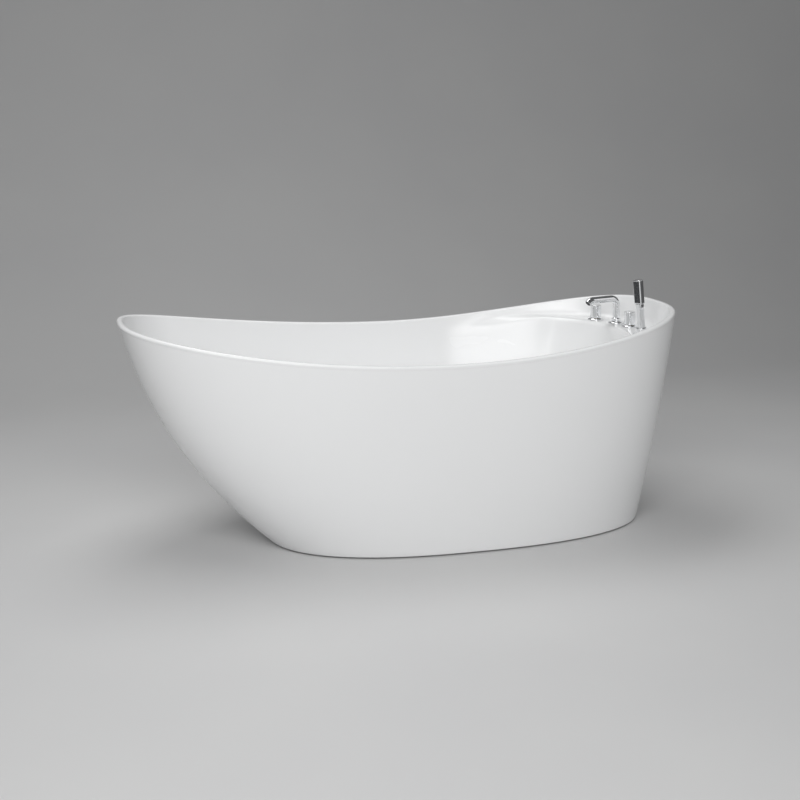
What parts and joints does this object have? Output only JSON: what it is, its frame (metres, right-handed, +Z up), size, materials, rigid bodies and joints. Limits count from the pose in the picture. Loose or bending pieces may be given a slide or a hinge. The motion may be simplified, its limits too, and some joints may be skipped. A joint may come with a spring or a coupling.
{
  "type": "freestanding bathtub",
  "caption": "Freestanding slipper bath with a curved double skin, a raised tap deck, a deck-mounted filler with hand shower, and a pop-up waste with overflow.",
  "frame": {"origin": "on the ground, at the centre of the bath's length and width", "axes": "+X along the length to the tap end, +Y across, +Z up"},
  "size_m": [1.7, 0.8, 0.7743],
  "materials": {
    "acrylic": "polished white sanitary acrylic",
    "board": "board sealed in glass-fibre resin",
    "frame_steel": "zinc-plated steel",
    "rubber": "matt black rubber",
    "chrome": "polished chrome plate",
    "brass": "machined brass",
    "drain_plastic": "white polypropylene",
    "copper": "drawn copper tube",
    "dark_plastic": "dark satin plastic"
  },
  "bodies": {
    "bath": {"inner_basin": "acrylic", "outer_skirt": "acrylic", "base_board": "board", "frame_rail_near": "frame_steel", "frame_rail_far": "frame_steel", "frame_cross_head": "frame_steel", "frame_cross_middle": "frame_steel", "frame_cross_tap": "frame_steel", "skirt_bracket_near": "frame_steel", "skirt_bracket_far": "frame_steel", "foot_stud_head_near": "frame_steel", "foot_stud_head_far": "frame_steel", "foot_stud_middle": "frame_steel", "foot_stud_tap_near": "frame_steel", "foot_stud_tap_far": "frame_steel", "foot_nut_head_near": "frame_steel", "foot_nut_head_far": "frame_steel", "foot_nut_middle": "frame_steel", "foot_nut_tap_near": "frame_steel", "foot_nut_tap_far": "frame_steel", "foot_pad_head_near": "rubber", "foot_pad_head_far": "rubber", "foot_pad_middle": "rubber", "foot_pad_tap_near": "rubber", "foot_pad_tap_far": "rubber", "waste_gasket": "rubber", "overflow_gasket": "rubber", "flow_washer": "rubber", "diverter_washer": "rubber", "spout_washer": "rubber", "handset_washer": "rubber", "waste_flange": "chrome", "overflow_cover": "chrome", "flow_flange": "chrome", "diverter_flange": "chrome", "spout_flange": "chrome", "handset_holder": "chrome", "flow_valve": "brass", "diverter_valve": "brass", "spout_shank": "brass", "flow_nut": "brass", "diverter_nut": "brass", "spout_nut": "brass", "handset_nut": "brass", "waste_tee": "drain_plastic", "waste_trap": "drain_plastic", "waste_outlet_pipe": "drain_plastic", "overflow_body": "drain_plastic", "overflow_pipe": "drain_plastic", "mixed_water_pipe": "copper", "spout_feed_pipe": "copper"},
    "flow_knob": {"flow_knob": "chrome"},
    "diverter_knob": {"diverter_knob": "chrome"},
    "spout": {"spout_tube": "chrome", "spout_aerator": "dark_plastic"},
    "waste_plug": {"waste_plug": "chrome", "waste_plug_seal": "rubber"},
    "handset": {"handset_handle": "chrome", "handset_head": "chrome", "handset_face": "dark_plastic"}
  },
  "joints": [
    {"name": "flow_turn", "type": "hinge", "parent": "bath", "child": "flow_knob", "pos_m": [0.71112, 0.17092, 0.628], "axis": [0, 0, 1], "range_deg": [0, 90]},
    {"name": "diverter_turn", "type": "hinge", "parent": "bath", "child": "diverter_knob", "pos_m": [0.7588, 0.01148, 0.628], "axis": [0, 0, 1], "range_deg": [0, 90]},
    {"name": "spout_swivel", "type": "hinge", "parent": "bath", "child": "spout", "pos_m": [0.74719, 0.08737, 0.64], "axis": [0, 0, 1], "range_deg": [-35, 35]},
    {"name": "plug_lift", "type": "slide", "parent": "bath", "child": "waste_plug", "axis": [0, 0, 1], "range_m": [0, 0.008]},
    {"name": "handset_lift", "type": "slide", "parent": "bath", "child": "handset", "axis": [-0.1167, 0, 0.9932], "range_m": [0, 0.12]}
  ]
}
